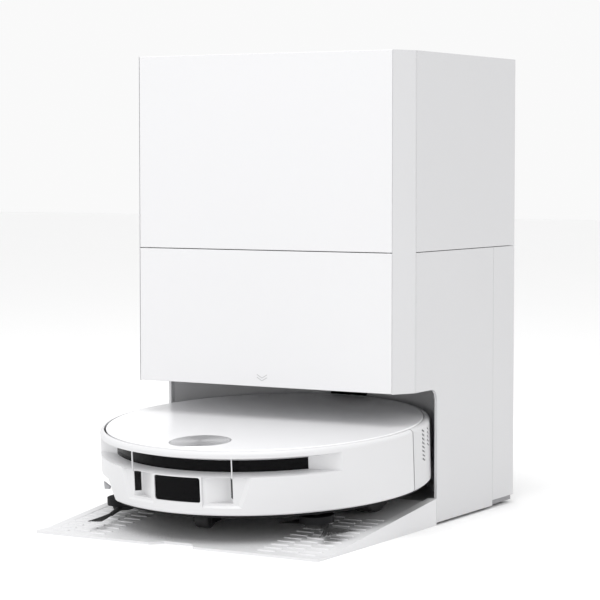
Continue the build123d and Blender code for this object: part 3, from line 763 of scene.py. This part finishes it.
class ROBOVAC_OT_main_brush(bpy.types.Operator):
    """Adds the main brush: a core with rubber blades that meet in arrows"""

    bl_idname = "robovac.main_brush"
    bl_label = "Main brush"

    blades = 6
    half = 89.0
    core = 11.2
    tip = 15.8
    twist = math.radians(70)

    def execute(self, context):
        place = Matrix.Translation(JOINTS["main_brush_spin"]["pos_m"]) @ ROBOT.to_3x3().to_4x4()
        mesh = bmesh.new()
        profile = [(0, -96), (3, -96), (3, -91), (8, -90.4), (self.core, -89.6)]
        profile += [(radius, -height) for radius, height in reversed(profile)]
        lathe(mesh, profile, 36, place @ Matrix.Rotation(math.radians(90), 4, "Y"))
        for i in range(self.blades):
            self.add_blade(mesh, place, 2 * math.pi * i / self.blades)
        made = piece("main_brush_blades", mesh, finishes()["brush_rubber"], "roller")
        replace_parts(soften(made), "main_brush")
        return {"FINISHED"}

    def add_blade(self, mesh, place, start):
        steps = 72
        rings = []
        for i in range(steps + 1):
            x = -self.half + 2 * self.half * i / steps
            angle = start + self.twist * abs(x) / self.half
            wave = 0.25 * math.sin(i * math.pi / 3)
            root = self.core - 1
            section = [(root, -1.5), (self.tip, -0.7 + wave), (self.tip, 0.7 + wave), (root, 1.5)]
            ring = []
            for radius, offset in section:
                turn = angle + offset / radius
                ring.append(mesh.verts.new(place @ mm(x, radius * math.cos(turn), radius * math.sin(turn))))
            rings.append(ring)
        skin(mesh, rings)
        mesh.faces.new(list(reversed(rings[0])))
        mesh.faces.new(rings[-1])


class ROBOVAC_OT_mop_pads(bpy.types.Operator):
    """Adds the two round mop pads with their deep pile"""

    bl_idname = "robovac.mop_pads"
    bl_label = "Mop pads"

    radius = 59.0
    layers = (0.6, 3.9)

    def execute(self, context):
        for name in ("left", "right"):
            place = ROBOT.copy()
            place.translation = Vector(JOINTS[f"{name}_mop_spin"]["pos_m"]) - ROBOT.to_3x3() @ mm(0, 0, 8)
            fabric = finishes()["mop_fabric"]
            made = piece(f"{name}_mop_pile", self.make_pad(place), fabric, f"{name}_mop")
            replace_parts(soften(made, 70), f"{name}_mop_pad")
        return {"FINISHED"}

    def make_pad(self, place):
        """A crowned disc whose underside is tufted in rings."""
        mesh = bmesh.new()
        low, high = self.layers
        spokes = 144
        profile = [(self.radius * i / 22, low) for i in range(1, 22)]
        profile += [(self.radius - 0.5, low + 0.5), (self.radius, (low + high) / 2),
                    (self.radius - 0.5, high - 0.5)]
        profile += [(self.radius - 2, high), (self.radius / 2, high)]
        rings = []
        for radius, height in profile:
            ring = []
            for i in range(spokes):
                angle = 2 * math.pi * i / spokes
                tuft = 0.35 * math.sin(radius * 0.9) * math.sin(angle * 36) + 0.25 * noise.noise(
                    Vector((radius * math.cos(angle), radius * math.sin(angle), height)) * 0.35
                )
                rise = tuft if height < (low + high) / 2 else 0
                reach = radius + (0.3 * math.sin(angle * 48) if radius > self.radius - 3 else 0)
                point = mm(reach * math.cos(angle), reach * math.sin(angle), height + max(rise, -0.1))
                ring.append(mesh.verts.new(place @ point))
            rings.append(ring)
        skin(mesh, rings)
        for ring, height in ((rings[0], low), (rings[-1], high)):
            middle = mesh.verts.new(place @ mm(0, 0, height))
            for i in range(spokes):
                mesh.faces.new((middle, ring[i], ring[(i + 1) % spokes]))
        bmesh.ops.recalc_face_normals(mesh, faces=mesh.faces)
        return mesh


class ROBOVAC_OT_dust_bag(bpy.types.Operator):
    """Adds the dust bag: a gusseted felt bag, creased and half full"""

    bl_idname = "robovac.dust_bag"
    bl_label = "Dust bag"

    def execute(self, context):
        low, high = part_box("dust_bag")
        centre = (low + high) / 2
        half = (high - low) / 2 - mm(1.5, 1.5, 1.5)
        mesh = bmesh.new()
        rings = []
        rows, around = 26, 96
        for row in range(rows + 1):
            share = row / rows
            y = -half.y + 2 * half.y * share
            swell = min(1.0, 0.55 + 0.45 * math.sin(math.pi * min(1.0, share * 1.25 + 0.1)))
            ring = []
            for i in range(around):
                ring.append(mesh.verts.new(centre + self.section(i / around, half, swell, y)))
            rings.append(ring)
        skin(mesh, rings)
        mesh.faces.new(list(reversed(rings[0])))
        mesh.faces.new(rings[-1])
        bmesh.ops.recalc_face_normals(mesh, faces=mesh.faces)
        made = soften(piece("dust_bag_felt", mesh, finishes()["bag_fabric"], "bag"), 80)
        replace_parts(made, "dust_bag")
        return {"FINISHED"}

    def section(self, share, half, swell, y):
        """One point of a creased, rounded section."""
        angle = 2 * math.pi * share
        power = 0.42
        c, s = math.cos(angle), math.sin(angle)
        x = math.copysign(abs(c) ** power, c) * half.x * (0.90 + 0.10 * swell)
        z = math.copysign(abs(s) ** power, s) * half.z * (0.62 + 0.38 * swell)
        cloud = noise.noise(Vector((x * 26, y * 40, z * 26)))
        crease = 1 - 0.045 * (1 + cloud) - 0.02 * abs(math.sin(angle * 9 + y * 90))
        gusset = 1 - 0.10 * math.exp(-((z / (half.z * 0.22)) ** 2)) * abs(c)
        return Vector((x * crease * gusset, y, z * crease))


class ROBOVAC_OT_optics(bpy.types.Operator):
    """Adds the lenses and rings that show behind the dark windows"""

    bl_idname = "robovac.optics"
    bl_label = "Lenses behind the windows"

    def execute(self, context):
        facing = Matrix.Rotation(math.radians(90), 4, "X")
        lens = [(0, 0.12), (2.6, 0.06), (3.2, 0.03), (3.8, 0.12), (4.8, 0.12), (5.2, 0.05), (5.2, 0), (0, 0)]
        mesh = bmesh.new()
        lathe(mesh, lens, 40, on_robot(0, -170.0, 45) @ facing)
        soften(piece("camera_lens", mesh, finishes()["spring_steel"], "robot"))
        arc = bmesh.new()
        turns = [math.radians(185 + 170 * i / 24) for i in range(25)]
        path = [on_robot(6 + 12.5 * math.cos(a), -150.6, 78 + 12.5 * math.sin(a)).translation for a in turns]
        tube(arc, path, [0.6 * MM] * len(path), 8)
        soften(piece("sensor_arc", arc, finishes()["spring_steel"], "robot"))
        hook = bmesh.new()
        outline = [(0, 0), (8.5, -4.5), (7.5, -7.5), (0.6, -8.0)]
        slab(hook, outline, 1.6, on_robot(-130, -116, 35.5) @ Matrix.Rotation(math.radians(-8), 4, "Z")
                @ facing)
        soften(piece("bumper_corner_hook", hook, finishes()["inner_grey"], "front_bumper"))
        return {"FINISHED"}


class ROBOVAC_OT_tank_trim(bpy.types.Operator):
    """Adds the lid seals and the level marks of both tanks"""

    bl_idname = "robovac.tank_trim"
    bl_label = "Tank seals and marks"

    marks = (320, 350, 380, 410, 440, 470)

    def execute(self, context):
        for name in ("clean", "dirty"):
            low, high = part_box(f"{name}_tank")
            seal = bmesh.new()
            inset = 4.2 * MM
            corners = [
                Vector((low.x + inset, low.y + inset)), Vector((high.x - inset, low.y + inset)),
                Vector((high.x - inset, high.y - inset)), Vector((low.x + inset, high.y - inset)),
            ]
            cut = 20 * MM
            outer = 1 if name == "dirty" else 0
            path = self.cut_corner(corners, outer, cut)
            height = high.z - 0.9 * MM
            loop = [Vector((p.x, p.y, height)) for p in path]
            for start, end in zip(loop, loop[1:] + loop[:1]):
                tube(seal, [start, end], [1.1 * MM] * 2, 8)
            soften(piece(f"{name}_lid_seal", seal, finishes()["seal_rubber"], f"{name}_lid"))
            ticks = bmesh.new()
            for i, mark in enumerate(self.marks):
                width = 18 if i % 2 else 28
                place = Matrix.Translation(((low.x + high.x) / 2, low.y, mark * MM))
                bar(ticks, (width, 0.5, 0.9), place, 0.2)
            soften(piece(
                f"{name}_level_marks", ticks, finishes()["seal_rubber"], f"{name}_water"
            ))
        return {"FINISHED"}

    def cut_corner(self, corners, which, cut):
        """Replaces one corner with two points along its sides."""
        corner = corners[which]
        before = (corners[which - 1] - corner).normalized()
        after = (corners[(which + 1) % 4] - corner).normalized()
        return corners[:which] + [corner + before * cut * 0.7, corner + after * cut] + corners[which + 1:]


class ROBOVAC_OT_stage(bpy.types.Operator):
    """Sets the pale floor, the studio light and the camera"""

    bl_idname = "robovac.stage"
    bl_label = "Stage"

    def execute(self, context):
        light = settings().light
        mesh = bmesh.new()
        bmesh.ops.create_grid(mesh, x_segments=2, y_segments=2, size=12)
        data = bpy.data.meshes.new("floor")
        mesh.to_mesh(data)
        mesh.free()
        data.materials.append(floor_paint("floor_white", (0.97, 0.97, 0.97)))
        floor = bpy.data.objects.new("floor", data)
        floor.location.z = -0.05 * MM
        bpy.context.scene.collection.objects.link(floor)
        world = bpy.data.worlds.new("studio_room")
        world.use_nodes = True
        room = world.node_tree.nodes["Background"]
        room.inputs["Color"].default_value = (1, 1, 1, 1)
        room.inputs["Strength"].default_value = light.room
        context.scene.world = world
        self.add_light("key", light.key, 1.6, (-1.5, -2.3, 1.5))
        self.add_light("top", light.top, 1.6, (0.1, -0.95, 2.4))
        self.add_camera()
        context.scene.view_settings.view_transform = "Standard"
        return {"FINISHED"}

    def add_light(self, name, power, size, place):
        lamp = bpy.data.lights.new(name, "AREA")
        lamp.energy = power
        lamp.size = size
        made = bpy.data.objects.new(name, lamp)
        made.location = place
        aim = Vector((0, 0, 0.22)) - Vector(place)
        made.rotation_euler = aim.to_track_quat("-Z", "Y").to_euler()
        bpy.context.scene.collection.objects.link(made)

    def add_camera(self):
        camera = bpy.data.cameras.new("camera")
        camera.lens = 133.48
        camera.sensor_width = 36
        made = bpy.data.objects.new("camera", camera)
        made.location = (1.22618, -2.06817, 0.38358)
        made.rotation_euler = (math.radians(86.49), 0, math.radians(30.28))
        bpy.context.scene.collection.objects.link(made)
        bpy.context.scene.camera = made


OPERATORS = (
    ROBOVAC_OT_finishes,
    ROBOVAC_OT_door_mark,
    ROBOVAC_OT_ramp_ribs,
    ROBOVAC_OT_side_brushes,
    ROBOVAC_OT_main_brush,
    ROBOVAC_OT_mop_pads,
    ROBOVAC_OT_dust_bag,
    ROBOVAC_OT_optics,
    ROBOVAC_OT_tank_trim,
    ROBOVAC_OT_stage,
)


class ROBOVAC_PT_panel(bpy.types.Panel):
    """Lists the steps that finish the object"""

    bl_idname = "ROBOVAC_PT_panel"
    bl_label = "Robot vacuum"
    bl_space_type = "VIEW_3D"
    bl_region_type = "UI"
    bl_category = "Robot vacuum"

    def draw(self, context):
        for operator in OPERATORS:
            self.layout.operator(operator.bl_idname)
        chosen = context.scene.robot_vacuum
        for group in (chosen.colours, chosen.ribs, chosen.tufts, chosen.light):
            box = self.layout.box()
            for name in group.__annotations__:
                box.prop(group, name)


CLASSES = (ShellColours, RibSizes, TuftSizes, StudioLight, RobotVacuumSettings, *OPERATORS, ROBOVAC_PT_panel)


def register():
    for made in CLASSES:
        bpy.utils.register_class(made)
    bpy.types.Scene.robot_vacuum = PointerProperty(type=RobotVacuumSettings)


def unregister():
    del bpy.types.Scene.robot_vacuum
    for made in reversed(CLASSES):
        bpy.utils.unregister_class(made)


def main():
    register()
    for operator in OPERATORS:
        group, name = operator.bl_idname.split(".")
        getattr(getattr(bpy.ops, group), name)()


if __name__ == "__main__":
    main()
